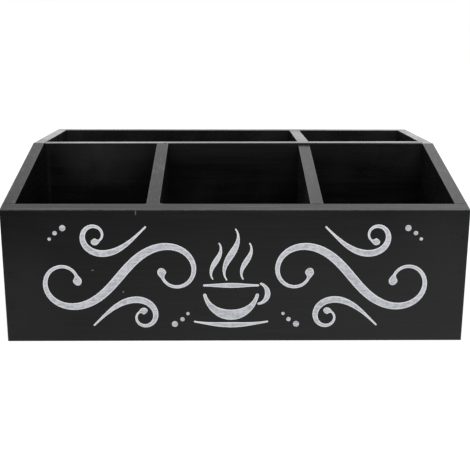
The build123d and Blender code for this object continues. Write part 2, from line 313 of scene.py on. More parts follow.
class BlackPaintSettings(bpy.types.PropertyGroup):
    deep_black: FloatVectorProperty(
        name="Deep black",
        description="Colour of the paint where it lies thick",
        subtype="COLOR",
        size=3,
        default=(0.0016, 0.0016, 0.0017),
    )
    worn_black: FloatVectorProperty(
        name="Thin black",
        description="Colour of the paint along the raised grain",
        subtype="COLOR",
        size=3,
        default=(0.0046, 0.0046, 0.0047),
    )
    smoothest: FloatProperty(
        name="Smoothest",
        description="Roughness of the glossiest patches",
        min=0.0,
        max=1.0,
        default=0.20,
    )
    roughest: FloatProperty(
        name="Roughest",
        description="Roughness of the dullest patches",
        min=0.0,
        max=1.0,
        default=0.32,
    )
    # Painted sheen: a lighter black for patches that stand in for soft reflections and light
    sheen_black: FloatVectorProperty(
        name="Sheen black",
        description="Colour of the paint in its dull patches",
        subtype="COLOR",
        size=3,
        default=(0.0190, 0.0190, 0.0195),
    )
    # Sanding wear and a painted highlight: a lighter black along the edges where they catch light
    edge_wear_and_highlight: FloatVectorProperty(
        name="Edge black",
        description="Colour of the paint along the sanded edges",
        subtype="COLOR",
        size=3,
        default=(0.034, 0.034, 0.034),
    )
    edge_width: FloatProperty(
        name="Edge width",
        description="Width of the lighter line along an edge",
        subtype="DISTANCE",
        unit="LENGTH",
        default=0.85 * MM,
    )
    grain_depth: FloatProperty(
        name="Grain depth",
        description="Height of the grain that shows through the paint",
        subtype="DISTANCE",
        unit="LENGTH",
        default=0.06 * MM,
    )
    rubbed_black: FloatVectorProperty(
        name="Rubbed black",
        description="Colour of the paint rubbed thin on the grain of the boards' tops",
        subtype="COLOR",
        size=3,
        default=(0.040, 0.040, 0.041),
    )
    groove_roughness: FloatProperty(
        name="Groove roughness",
        description="Roughness of the paint in the seams and nicks",
        min=0.0,
        max=1.0,
        default=0.9,
    )
    seam_depth: FloatProperty(
        name="Seam depth",
        description="Depth of the seams between the boards",
        subtype="DISTANCE",
        unit="LENGTH",
        default=0.4 * MM,
    )
    nick_depth: FloatProperty(
        name="Nick depth",
        description="Depth of the nicks",
        subtype="DISTANCE",
        unit="LENGTH",
        default=1.4 * MM,
    )
    upright_grain: FloatProperty(
        name="Upright grain",
        description="How much of the grain is left on the boards' upright faces",
        min=0.0,
        max=1.0,
        default=0.2,
    )


class ScrollSettings(bpy.types.PropertyGroup):
    film: FloatProperty(
        name="Film",
        description="Thickness of the white paint",
        subtype="DISTANCE",
        unit="LENGTH",
        default=0.15 * MM,
    )
    # Drawn-up paint and a painted highlight: a lighter white along a stroke's edges
    rim_white_and_highlight: FloatVectorProperty(
        name="Edge white",
        description="Colour of the white paint drawn up at the edges of a stroke",
        subtype="COLOR",
        size=3,
        default=(0.80, 0.81, 0.84),
    )
    white: FloatVectorProperty(
        name="White",
        description="Colour of the white paint where it covers well",
        subtype="COLOR",
        size=3,
        default=(0.63, 0.64, 0.68),
    )
    thin_white: FloatVectorProperty(
        name="Thin white",
        description="Colour of the white paint where the brush left it thin",
        subtype="COLOR",
        size=3,
        default=(0.40, 0.41, 0.45),
    )
    stations: IntProperty(
        name="Stations",
        description="Cross-sections along each stroke",
        min=8,
        default=96,
    )
    rows: IntProperty(
        name="Rows",
        description="Strips of faces side by side in each stroke",
        min=2,
        default=6,
    )


class FillerSettings(bpy.types.PropertyGroup):
    right_radius: FloatProperty(
        name="Right bead",
        description="Radius of the filler bead in the middle bin's front corner",
        subtype="DISTANCE",
        unit="LENGTH",
        default=4.4 * MM,
    )
    left_radius: FloatProperty(
        name="Left bead",
        description="Radius of the filler bead in the left bin's front corner",
        subtype="DISTANCE",
        unit="LENGTH",
        default=1.6 * MM,
    )
    reach: FloatProperty(
        name="Reach",
        description="How far the beads reach along the divider, as a share of their radius",
        default=0.55,
    )


class StageSettings(bpy.types.PropertyGroup):
    camera_place: FloatVectorProperty(
        name="Camera",
        description="Where the camera stands",
        subtype="TRANSLATION",
        unit="LENGTH",
        size=3,
        default=(-0.0081, -0.6037, 0.1978),
    )
    camera_pitch: FloatProperty(
        name="Pitch", description="Angle below level", subtype="ANGLE", default=radians(13.88)
    )
    camera_yaw: FloatProperty(
        name="Yaw", description="Angle to the right", subtype="ANGLE", default=radians(0.86)
    )
    camera_roll: FloatProperty(
        name="Roll", description="Lean of the camera", subtype="ANGLE", default=radians(0.18)
    )
    lens: FloatProperty(
        name="Lens", description="Focal length in millimetres", subtype="DISTANCE_CAMERA", default=61.03
    )
    room_level: FloatProperty(
        name="Room", description="Light that falls on the box from all round", default=0.92
    )
    backdrop_level: FloatProperty(
        name="Backdrop", description="Brightness of the sweep behind the box, in its gloss", default=1.18
    )
    front_level: FloatProperty(
        name="Front", description="Brightness of the room before the box, in its gloss", default=0.08
    )
    right_gain: FloatProperty(
        name="Right", description="How much brighter the gloss is to the right", default=1.0
    )
    lamp_power: FloatProperty(
        name="Lamp", description="Power of the soft lamp", subtype="POWER", default=14.0
    )
    lamp_size: FloatProperty(
        name="Lamp size",
        description="Side of the soft lamp",
        subtype="DISTANCE",
        unit="LENGTH",
        default=1.6,
    )
    lamp_place: FloatVectorProperty(
        name="Lamp place",
        description="Where the soft lamp hangs",
        subtype="TRANSLATION",
        unit="LENGTH",
        size=3,
        default=(0.35, -1.5, 1.5),
    )
    floor_size: FloatProperty(
        name="Floor", description="Side of the floor", subtype="DISTANCE", unit="LENGTH", default=12.0
    )


def add_node(tree, kind, inputs=None, **settings):
    """Adds a shader node. An input is a value, or the socket that feeds it."""
    made = tree.nodes.new(kind)
    for name, value in settings.items():
        setattr(made, name, value)
    for name, value in (inputs or {}).items():
        if isinstance(value, bpy.types.NodeSocket):
            tree.links.new(value, made.inputs[name])
        else:
            made.inputs[name].default_value = value
    return made


def maths(tree, operation, *values, clamp=False):
    """The socket of what one operation makes of up to three values."""
    inputs = dict(enumerate(values))
    return add_node(tree, "ShaderNodeMath", inputs, operation=operation, use_clamp=clamp).outputs[0]


def vector_maths(tree, operation, first, second):
    """The socket of what one operation makes of two vectors."""
    inputs = {0: first, 1: second}
    return add_node(tree, "ShaderNodeVectorMath", inputs, operation=operation).outputs["Vector"]


def length(tree, vector):
    """The socket of a vector's length."""
    return add_node(tree, "ShaderNodeVectorMath", {0: vector}, operation="LENGTH").outputs["Value"]


def axes(tree, vector):
    """The three sockets of a vector's parts, by the axes' names."""
    return add_node(tree, "ShaderNodeSeparateXYZ", {"Vector": vector}).outputs


def stretched(tree, vector, scale):
    """The socket of a vector scaled along every axis."""
    return add_node(tree, "ShaderNodeMapping", {"Vector": vector, "Scale": scale}).outputs["Vector"]


def rescale(tree, value, from_range, to_range=(0.0, 1.0)):
    """The socket of a value carried from one range to another and held within it."""
    inputs = {
        "Value": value,
        "From Min": from_range[0],
        "From Max": from_range[1],
        "To Min": to_range[0],
        "To Max": to_range[1],
    }
    return add_node(tree, "ShaderNodeMapRange", inputs).outputs["Result"]


def fade(tree, value, start, end):
    """The socket of a strength that is 1 as far as a start and falls to 0 at an end."""
    return rescale(tree, value, (start, end), (1.0, 0.0))


def between(tree, share, low, high):
    """The socket of a value that lies between two others."""
    return rescale(tree, share, (0.0, 1.0), (low, high))


def blend(tree, share, low, high):
    """The socket of a colour between two others."""
    made = add_node(tree, "ShaderNodeMix", {0: share}, data_type="RGBA")
    for socket, colour in ((made.inputs[MIX_LOW_COLOUR], low), (made.inputs[MIX_HIGH_COLOUR], high)):
        if isinstance(colour, bpy.types.NodeSocket):
            tree.links.new(colour, socket)
        else:
            socket.default_value = (*colour, 1.0)
    return made.outputs[MIX_RESULT_COLOUR]


def mix_shaders(tree, share, first, second):
    """The socket of a shader mixed from two."""
    return add_node(tree, "ShaderNodeMixShader", {0: share, 1: first, 2: second}).outputs[0]


def noise(tree, vector, name):
    """The socket of one of the finishes' noises."""
    scale, detail, roughness = NOISES[name]
    inputs = {"Vector": vector, "Scale": scale, "Detail": detail, "Roughness": roughness}
    return add_node(tree, "ShaderNodeTexNoise", inputs).outputs["Fac"]


def new_group(name, inputs, outputs):
    """An empty node group and its two end nodes. Its inputs are named with their defaults, and its
    outputs are all numbers."""
    group = bpy.data.node_groups.new(name, "ShaderNodeTree")
    for label, default in inputs.items():
        kind = "NodeSocketFloat" if isinstance(default, float) else "NodeSocketVector"
        socket = group.interface.new_socket(label, in_out="INPUT", socket_type=kind)
        socket.default_value = default
    for label in outputs:
        group.interface.new_socket(label, in_out="OUTPUT", socket_type="NodeSocketFloat")
    return group, group.nodes.new("NodeGroupInput"), group.nodes.new("NodeGroupOutput")


def put_out(group, end, results):
    """Links a group's results to its outputs of the same names."""
    for name, result in results.items():
        group.links.new(result, end.inputs[name])


def grain_group():
    """Grain drawn out along a board, brush streaks over it, and soft clouds in the gloss."""
    inputs = {"Vector": ORIGIN, "Stretch": (1.0, 1.0, 1.0)}
    group, start, end = new_group("board grain", inputs, ("Streaks", "Brush", "Clouds", "Height"))
    place = start.outputs["Vector"]
    along = stretched(group, place, start.outputs["Stretch"])
    streaks = noise(group, along, "grain")
    brush = noise(group, along, "brush")
    clouds = noise(group, place, "clouds")
    pimples = noise(group, place, "pimples")
    height = maths(group, "MULTIPLY_ADD", brush, BRUSH_HEIGHT_SHARE, streaks)
    height = maths(group, "MULTIPLY_ADD", pimples, PIMPLE_HEIGHT_SHARE, height)
    put_out(group, end, {"Streaks": streaks, "Brush": brush, "Clouds": clouds, "Height": height})
    return group


def band(tree, value, centre, half_width):
    """1 within a band about a place along an axis, fading at its edges."""
    offset = maths(tree, "ABSOLUTE", maths(tree, "SUBTRACT", value, centre))
    return fade(tree, offset, half_width * BAND_CORE_SHARE, half_width)


def seam_group():
    """The hairlines where the front and back boards meet the ends of the boards between them."""
    group, start, end = new_group("glued seams", {"Vector": ORIGIN}, ("Seam",))
    place = start.outputs["Vector"]
    parts = axes(group, place)
    front = band(group, parts["Y"], FRONT_INNER_Y, SEAM_HALF_WIDTH)
    back = band(group, parts["Y"], BACK_INNER_Y, SEAM_HALF_WIDTH)
    across = maths(group, "ABSOLUTE", parts["X"])
    at_side = rescale(group, across, (SIDE_INNER_X, SIDE_INNER_X + SEAM_HALF_WIDTH))
    divider_middle = (RIGHT_DIVIDER_LOW.x + RIGHT_DIVIDER_HIGH.x) / 2
    divider_half = (RIGHT_DIVIDER_HIGH.x - RIGHT_DIVIDER_LOW.x) / 2
    at_divider = band(group, parts["X"], divider_middle, divider_half)
    patchy = rescale(group, noise(group, place, "seams"), PATCHY_RANGE, (LEAST_SEAM, 1.0))
    ends = maths(group, "MAXIMUM", maths(group, "MULTIPLY", at_side, patchy), at_divider)
    lines = maths(group, "MAXIMUM", front, back)
    put_out(group, end, {"Seam": maths(group, "MULTIPLY", lines, ends)})
    return group


def spot_group():
    """A soft-edged spot about a middle, with its own reach along every axis."""
    inputs = {"Vector": ORIGIN, "Middle": ORIGIN, "Reach": (1.0, 1.0, 1.0), "Strength": 1.0}
    group, start, end = new_group("soft spot", inputs, ("Spot",))
    given = start.outputs
    offset = vector_maths(group, "SUBTRACT", given["Vector"], given["Middle"])
    out = length(group, vector_maths(group, "DIVIDE", offset, given["Reach"]))
    spot = fade(group, out, SPOT_CORE_SHARE, 1.0)
    put_out(group, end, {"Spot": maths(group, "MULTIPLY", spot, given["Strength"])})
    return group


def slope_height(y):
    """The height of the rim's slope at a place along the box's depth."""
    return FRONT_HEIGHT + SLOPE * (y - FRONT_Y)


def edge_group():
    """Where sanding and handling thinned the paint along a board's edges and its rim, plus a painted
    highlight there.
    """
    inputs = {"Vector": ORIGIN, "Low": ORIGIN, "High": ORIGIN, "Fall": 0.0, "Width": MM}
    group, start, end = new_group("worn edges", inputs, ("Wear_and_highlight",))
    given = start.outputs
    place = given["Vector"]
    from_low = vector_maths(group, "SUBTRACT", place, given["Low"])
    from_high = vector_maths(group, "SUBTRACT", given["High"], place)
    aside = axes(group, vector_maths(group, "MINIMUM", from_low, from_high))
    parts = axes(group, place)
    rim = maths(group, "MULTIPLY_ADD", parts["Y"], SLOPE, slope_height(0))
    rim = maths(group, "MINIMUM", rim, SIDE_HIGH.z)
    behind_front = maths(group, "SUBTRACT", parts["Y"], FRONT_INNER_Y)
    fallen = maths(group, "MULTIPLY", behind_front, given["Fall"])
    below = maths(group, "SUBTRACT", maths(group, "SUBTRACT", rim, fallen), parts["Z"])
    below = maths(group, "MAXIMUM", below, 0.0)
    # The least of the three distances is to the face that a point lies on, the next to that face's edge
    nearer = maths(group, "MINIMUM", aside["X"], aside["Y"])
    farther = maths(group, "MAXIMUM", aside["X"], aside["Y"])
    from_edge = maths(group, "MAXIMUM", nearer, maths(group, "MINIMUM", farther, below))
    # The edge line: sanding wear, and a painted highlight where the edges catch light
    core = maths(group, "MULTIPLY", given["Width"], EDGE_CORE_SHARE)
    worn = fade(group, from_edge, core, given["Width"])
    patchy = rescale(group, noise(group, place, "edges"), PATCHY_RANGE, (LEAST_EDGE, 1.0))
    put_out(group, end, {"Wear_and_highlight": maths(group, "MULTIPLY", worn, patchy)})
    return group


def streaked_film_group():
    """Dry brush strokes across the front, mottled, with a lighter rim at a stroke's edges: paint
    drawn up there, and a painted highlight.
    """
    inputs = {"Vector": ORIGIN, "Inside": 0.0}
    group, start, end = new_group("dry brushed film", inputs, ("Cover", "Rim_and_highlight", "Height"))
    place = start.outputs["Vector"]
    streaks = noise(group, stretched(group, place, (DRY_ALONG_SHARE, 1.0, 1.0)), "dry streaks")
    mottle = noise(group, place, "dry mottle")
    clouds = noise(group, place, "dry clouds")
    cover = maths(group, "MULTIPLY", streaks, STREAK_COVER_SHARE)
    cover = maths(group, "MULTIPLY_ADD", mottle, MOTTLE_COVER_SHARE, cover)
    cover = maths(group, "MULTIPLY_ADD", clouds, CLOUD_COVER_SHARE, cover)
    cover = rescale(group, cover, COVER_RANGE)
    # The rim of a stroke: paint drawn up there, and a painted highlight along it
    rim_and_highlight = fade(group, start.outputs["Inside"], *RIM_AND_HIGHLIGHT_RANGE)
    put_out(group, end, {"Cover": cover, "Rim_and_highlight": rim_and_highlight, "Height": streaks})
    return group


def cleared_tree(owner):
    """The emptied node tree of a material or a world."""
    owner.use_nodes = True
    owner.node_tree.nodes.clear()
    return owner.node_tree


def new_material(name):
    """A material with only an output and a principled shader, and its tree and shader."""
    made = bpy.data.materials.new(name)
    tree = cleared_tree(made)
    shader = tree.nodes.new("ShaderNodeBsdfPrincipled")
    output = tree.nodes.new("ShaderNodeOutputMaterial")
    tree.links.new(shader.outputs["BSDF"], output.inputs["Surface"])
    return made, tree, shader


def add_bump(tree, shader, height, depth):
    """Gives a shader the relief of a height, of which 1 is as high as the depth."""
    bump = add_node(tree, "ShaderNodeBump", {"Strength": 1.0, "Distance": depth, "Height": height})
    tree.links.new(bump.outputs["Normal"], shader.inputs["Normal"])


def object_place(tree):
    """The socket of a point's place in the frame."""
    return tree.nodes.new("ShaderNodeTexCoord").outputs["Object"]


def in_group(tree, group, inputs):
    """A node that holds a group, and its outputs."""
    return add_node(tree, "ShaderNodeGroup", inputs, node_tree=group).outputs


def strongest_spot(tree, group, place, spots):
    """The strongest of some spots at a place, and its socket."""
    strongest = None
    for middle, reach, strength in spots:
        inputs = {"Vector": place, "Middle": middle, "Reach": reach, "Strength": strength}
        spot = in_group(tree, group, inputs)["Spot"]
        strongest = maths(tree, "MAXIMUM", strongest, spot) if strongest else spot
    return strongest


def board_edges(node, edge_axes):
    """The faces of a board whose edges carry wear and a painted highlight, and how fast its top falls
    below the slope.
    """
    low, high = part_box(node)
    far = cad_box[1].x - cad_box[0].x
    low_ends = [low[i] if axis in edge_axes else -far for i, axis in enumerate("XYZ")]
    high_ends = [high[i] if axis in edge_axes else far for i, axis in enumerate("XYZ")]
    fall = 0.0
    if node in BOARDS_BACK:
        rim = min(slope_height(high.y), SIDE_HIGH.z)
        fall = (rim - high.z) / (high.y - low.y)
    return low_ends, high_ends, fall


def black_paint(name, node, edge_axes, stretch, settings, groups):
    """Satin black paint over a board, with grain along its length, edges with wear and a painted
    highlight, patches of painted sheen, and marks.
    """
    made, tree, shader = new_material(name)
    place = object_place(tree)
    wood = in_group(tree, groups["grain"], {"Vector": place, "Stretch": stretch})
    upward = axes(tree, tree.nodes.new("ShaderNodeNewGeometry").outputs["True Normal"])["Z"]
    upward = rescale(tree, upward, UPWARD_RANGE)
    grained = between(tree, upward, settings.upright_grain, 1.0)
    thin = rescale(tree, wood["Streaks"], THIN_PAINT_RANGE)
    colour = blend(tree, thin, settings.deep_black, settings.worn_black)
    rubbed = maths(tree, "MULTIPLY", rescale(tree, wood["Height"], RUBBED_RANGE), upward)
    colour = blend(tree, rubbed, colour, settings.rubbed_black)
    # Painted sheen: patches of lighter black that stand in for soft reflections and light in the bins and
    # on the front
    painted_sheen = strongest_spot(tree, groups["spot"], place, PAINTED_SHEENS.get(node, ()))
    if painted_sheen:
        patchy = rescale(tree, wood["Clouds"], SHEEN_RANGE, (LEAST_SHEEN, 1.0))
        colour = blend(tree, maths(tree, "MULTIPLY", painted_sheen, patchy), colour, settings.sheen_black)
    # Sanding wear and a painted highlight: a lighter line along the board's edges
    if edge_axes:
        low, high, fall = board_edges(node, edge_axes)
        inputs = {"Vector": place, "Low": low, "High": high, "Fall": fall, "Width": settings.edge_width}
        worn = in_group(tree, groups["edge"], inputs)["Wear_and_highlight"]
        colour = blend(tree, worn, colour, settings.edge_wear_and_highlight)
    scuff = strongest_spot(tree, groups["spot"], place, SCUFFS.get(node, ()))
    if scuff:
        colour = blend(tree, scuff, colour, SCUFF_GREY)
    tree.links.new(colour, shader.inputs["Base Color"])
    seam = in_group(tree, groups["seam"], {"Vector": place})["Seam"]
    dullness = maths(tree, "MULTIPLY", maths(tree, "SUBTRACT", wood["Brush"], NOISE_MIDDLE), grained)
    dullness = maths(tree, "ADD", dullness, wood["Clouds"])
    roughness = rescale(tree, dullness, GLOSS_RANGE, (settings.smoothest, settings.roughest))
    roughness = between(tree, seam, roughness, settings.groove_roughness)
    height = maths(tree, "MULTIPLY", wood["Height"], grained)
    height = maths(tree, "MULTIPLY_ADD", seam, -settings.seam_depth / settings.grain_depth, height)
    nick = strongest_spot(tree, groups["spot"], place, NICKS.get(node, ()))
    if nick:
        roughness = between(tree, nick, roughness, settings.groove_roughness)
        height = maths(tree, "MULTIPLY_ADD", nick, -settings.nick_depth / settings.grain_depth, height)
    tree.links.new(roughness, shader.inputs["Roughness"])
    add_bump(tree, shader, height, settings.grain_depth)
    shader.inputs["IOR"].default_value = BLACK_PAINT_IOR
    return made


def white_paint(settings, film):
    """The white of the scroll, dragged on with a dry brush."""
    made, tree, shader = new_material("brushed_white_paint")
    inside = add_node(tree, "ShaderNodeAttribute", attribute_name=INSIDE_ATTRIBUTE).outputs["Fac"]
    look = in_group(tree, film, {"Vector": object_place(tree), "Inside": inside})
    colour = blend(tree, look["Cover"], settings.thin_white, settings.white)
    # Drawn-up paint and a painted highlight: lighter white along the strokes' edges
    colour = blend(tree, look["Rim_and_highlight"], colour, settings.rim_white_and_highlight)
    tree.links.new(colour, shader.inputs["Base Color"])
    tree.links.new(between(tree, look["Cover"], *WHITE_ROUGHNESS), shader.inputs["Roughness"])
    add_bump(tree, shader, look["Height"], WHITE_DEPTH)
    return made


def brad_steel():
    """Bright steel wire, finely mottled."""
    made, tree, shader = new_material("brad_wire")
    rubbed = noise(tree, object_place(tree), "wire")
    tree.links.new(blend(tree, rubbed, *WIRE_COLOURS), shader.inputs["Base Color"])
    tree.links.new(rescale(tree, rubbed, GLOSS_RANGE, WIRE_ROUGHNESS), shader.inputs["Roughness"])
    shader.inputs["Metallic"].default_value = 1.0
    return made


def dress(node, material):
    """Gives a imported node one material."""
    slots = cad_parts[node].data.materials
    slots.clear()
    slots.append(material)


def new_object(name, mesh, material):
    """An object in the scene, made of a bmesh and standing at the origin."""
    data = bpy.data.meshes.new(name)
    mesh.to_mesh(data)
    mesh.free()
    data.materials.append(material)
    made = bpy.data.objects.new(name, data)
    bpy.context.scene.collection.objects.link(made)
    return made


def new_piece(name, mesh, material):
    """A finished piece, riding on the box."""
    piece = new_object(name, mesh, material)
    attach(piece, "root")
    return piece


def stroke_angle(stroke, way):
    """The stroke's direction at a share of the way along it, in radians."""
    curl = stroke["curl_power"]
    start_turn, end_turn = stroke["turn_angles"]
    from_start = (1 - way) ** curl - 0.5**curl
    from_end = way**curl - 0.5**curl
    return radians(stroke["heading_angle"] - start_turn * from_start + end_turn * from_end)


def half_width(stroke, way):
    """Half of the stroke's width at a share of the way along it, its round ends included."""
    widest_at = stroke["widest_at_share"]
    swelling = way / widest_at if way < widest_at else (1 - way) / (1 - widest_at)
    finest = stroke["finest_share"]
    half = (finest + (stroke["widest_share"] - finest) * sin(swelling * pi / 2) ** 2) / 2
    for from_end, ball in zip((way, 1 - way), stroke["ball_shares"]):
        radius = ball or finest / 2
        from_middle = from_end * stroke["length_share"] - radius
        if from_middle < 0:
            half = max(radius**2 - from_middle**2, 0) ** 0.5
        elif from_middle < NECK_SHARE * ball:
            half += (ball - half) * (1 + cos(pi * from_middle / (NECK_SHARE * ball))) / 2
    return SCROLL_HEIGHT * half


def stroke_place(stroke, way):
    """A point of the stroke's middle line as (x, z), walked to from the point halfway along."""
    step = (way - 0.5) / WALK_STEPS
    place = Vector(stroke["middle_shares"])
    for i in range(WALK_STEPS):
        angle = stroke_angle(stroke, 0.5 + step * (i + 0.5))
        place += Vector((cos(angle), sin(angle))) * step * stroke["length_share"]
    return place * SCROLL_HEIGHT


def raise_film(mesh, faces, inside_layer, film):
    """Gives flat faces on the front board the thickness of the film, lower along their rim."""
    raised = bmesh.ops.extrude_face_region(mesh, geom=faces, use_keep_orig=True)
    for vert in raised["geom"]:
        if isinstance(vert, bmesh.types.BMVert):
            vert.co.y -= film * (1.0 if vert[inside_layer] > 0 else FILM_RIM_SHARE)


def add_stroke(mesh, stroke, settings, inside_layer):
    """One brush stroke, as a grid drawn out along its middle line and then raised."""
    stations = settings.stations
    ways = [(1 - cos(pi * i / stations)) / 2 for i in range(stations + 1)]
    line = [
        (stroke_place(stroke, way), stroke_angle(stroke, way), half_width(stroke, way))
        for way in ways
    ]
    others = set(mesh.faces)
    grid = bmesh.ops.create_grid(mesh, x_segments=stations, y_segments=settings.rows, size=1.0)["verts"]
    tips = []
    for vert in grid:
        station = round((vert.co.x + 1) / 2 * stations)
        row = round((vert.co.y + 1) / 2 * settings.rows)
        across = -cos(pi * row / settings.rows)
        middle, angle, half = line[station]
        place = middle + Vector((-sin(angle), cos(angle))) * across * half
        vert.co = (place.x, FRONT_Y, place.y + SCROLL_MIDDLE_Z)
        at_rim = row in (0, settings.rows)
        vert[inside_layer] = 0.0 if at_rim else half * (1 - abs(across)) / MM
        if station in (0, stations):
            tips.append(vert)
    bmesh.ops.remove_doubles(mesh, verts=tips, dist=MERGE_DISTANCE)
    faces = [face for face in mesh.faces if face not in others]
    raise_film(mesh, faces, inside_layer, settings.film)


def add_dot(mesh, x, z, radius, settings, inside_layer):
    """A round dab of the brush, with a third as many sides as a stroke has stations."""
    size = radius * SCROLL_HEIGHT
    sides = settings.stations // 3
    disc = bmesh.ops.create_circle(mesh, cap_ends=True, radius=size, segments=sides)["verts"]
    turn = Matrix.Rotation(pi / 2, 4, "X")
    place = Matrix.Translation((x * SCROLL_HEIGHT, FRONT_Y, z * SCROLL_HEIGHT + SCROLL_MIDDLE_Z))
    bmesh.ops.transform(mesh, matrix=place @ turn, verts=disc)
    face = disc[0].link_faces[0]
    rim = bmesh.ops.inset_region(mesh, faces=[face], thickness=size * DOT_RIM_SHARE)["faces"]
    for vert in face.verts:
        vert[inside_layer] = size / MM
    raise_film(mesh, [*rim, face], inside_layer, settings.film)


def turned_share(x, z):
    """A point turned half a turn about the middle of the great scroll."""
    middle_x, middle_z = PAIRED_STROKE_SHARES["great scroll"]["middle_shares"]
    return 2 * middle_x - x, 2 * middle_z - z


def painted_strokes():
    """Every stroke on the right of the scroll, the lower one turned from the upper one."""
    strokes = list(PAIRED_STROKE_SHARES.values())
    upper = PAIRED_STROKE_SHARES["upper scroll"]
    middle = turned_share(*upper["middle_shares"])
    lower = dict(upper, middle_shares=middle, heading_angle=upper["heading_angle"] + 180)
    return strokes + [lower]


class ORGANIZER_OT_black_boards(bpy.types.Operator):
    """Paints every board and the filler over the brads satin black"""

    bl_idname = "organizer.black_boards"
    bl_label = "Paint the Boards"

    def execute(self, context):
        settings = context.scene.organizer_black
        groups = {
            "grain": grain_group(),
            "seam": seam_group(),
            "spot": spot_group(),
            "edge": edge_group(),
        }
        across = (GRAIN_ALONG_SHARE, 1.0, 1.0)
        back = (1.0, GRAIN_ALONG_SHARE, 1.0)
        for boards, stretch in ((BOARDS_ACROSS, across), (BOARDS_BACK, back)):
            for node, edge_axes in boards.items():
                name = f"black_paint_{node}"
                dress(node, black_paint(name, node, edge_axes, stretch, settings, groups))
        filler = black_paint("black_paint_filler", FILLER_NODE, "", across, settings, groups)
        dress(FILLER_NODE, filler)
        return {"FINISHED"}


class ORGANIZER_OT_brads(bpy.types.Operator):
    """Gives the brads their bright wire"""

    bl_idname = "organizer.brads"
    bl_label = "Finish the Brads"

    def execute(self, context):
        steel = brad_steel()
        for node in BRAD_NODES:
            dress(node, steel)
        return {"FINISHED"}


class ORGANIZER_OT_corner_filler(bpy.types.Operator):
    """Wipes a bead of filler into the front corners of the left divider"""

    bl_idname = "organizer.corner_filler"
    bl_label = "Fill the Divider's Corners"

    def execute(self, context):
        settings = context.scene.organizer_filler
        mesh = bmesh.new()
        self.add_bead(mesh, DIVIDER_HIGH.x, 1, settings.right_radius, settings.reach)
        self.add_bead(mesh, DIVIDER_LOW.x, -1, settings.left_radius, settings.reach)
        bmesh.ops.recalc_face_normals(mesh, faces=mesh.faces)
        paint = bpy.data.materials["black_paint_filler"]
        new_piece("corner_filler", mesh, paint)
        return {"FINISHED"}

    def add_bead(self, mesh, corner_x, side, radius, reach):
        """A hollow-faced bead up a corner, its top cut to the slope."""
        start = mesh.verts.new((corner_x, FRONT_INNER_Y + radius, DIVIDER_LOW.z))
        centre = Vector((corner_x + side * radius, FRONT_INNER_Y + radius, DIVIDER_LOW.z))
        turn = side * pi / 2
        bmesh.ops.spin(
            mesh, geom=[start], cent=centre, axis=(0, 0, 1), angle=turn, steps=BEAD_STEPS, use_merge=False
        )
        mesh.verts.ensure_lookup_table()
        arc = [vert for vert in mesh.verts if not vert.link_faces]
        about_corner = Matrix.Translation((0, -FRONT_INNER_Y, 0))
        bmesh.ops.scale(mesh, vec=(1, reach, 1), space=about_corner, verts=arc)
        corner = mesh.verts.new((corner_x, FRONT_INNER_Y, DIVIDER_LOW.z))
        face = mesh.faces.new([corner, *arc])
        top = bmesh.ops.extrude_face_region(mesh, geom=[face])["geom"]
        for vert in top:
            if isinstance(vert, bmesh.types.BMVert):
                vert.co.z = slope_height(vert.co.y)


class ORGANIZER_OT_scroll(bpy.types.Operator):
    """Brushes the scrolls and the steaming cup on the front board"""

    bl_idname = "organizer.scroll"
    bl_label = "Brush the Scroll"

    def execute(self, context):
        settings = context.scene.organizer_scroll
        mesh = bmesh.new()
        inside_layer = mesh.verts.layers.float.new(INSIDE_ATTRIBUTE)
        for stroke in painted_strokes():
            add_stroke(mesh, stroke, settings, inside_layer)
        for x, z, radius in PAIRED_DOT_SHARES:
            add_dot(mesh, x, z, radius, settings, inside_layer)
            add_dot(mesh, *turned_share(x, z), radius, settings, inside_layer)
        copies = bmesh.ops.duplicate(mesh, geom=mesh.verts[:] + mesh.edges[:] + mesh.faces[:])["geom"]
        copied = [item for item in copies if isinstance(item, bmesh.types.BMVert)]
        bmesh.ops.scale(mesh, vec=(-1, 1, 1), verts=copied)
        for stroke in CUP_STROKE_SHARES.values():
            add_stroke(mesh, stroke, settings, inside_layer)
        bmesh.ops.recalc_face_normals(mesh, faces=mesh.faces)
        paint = white_paint(settings, streaked_film_group())
        scroll = new_piece("brushed_scroll", mesh, paint)
        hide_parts(SCROLL_NODE)
        return {"FINISHED"}


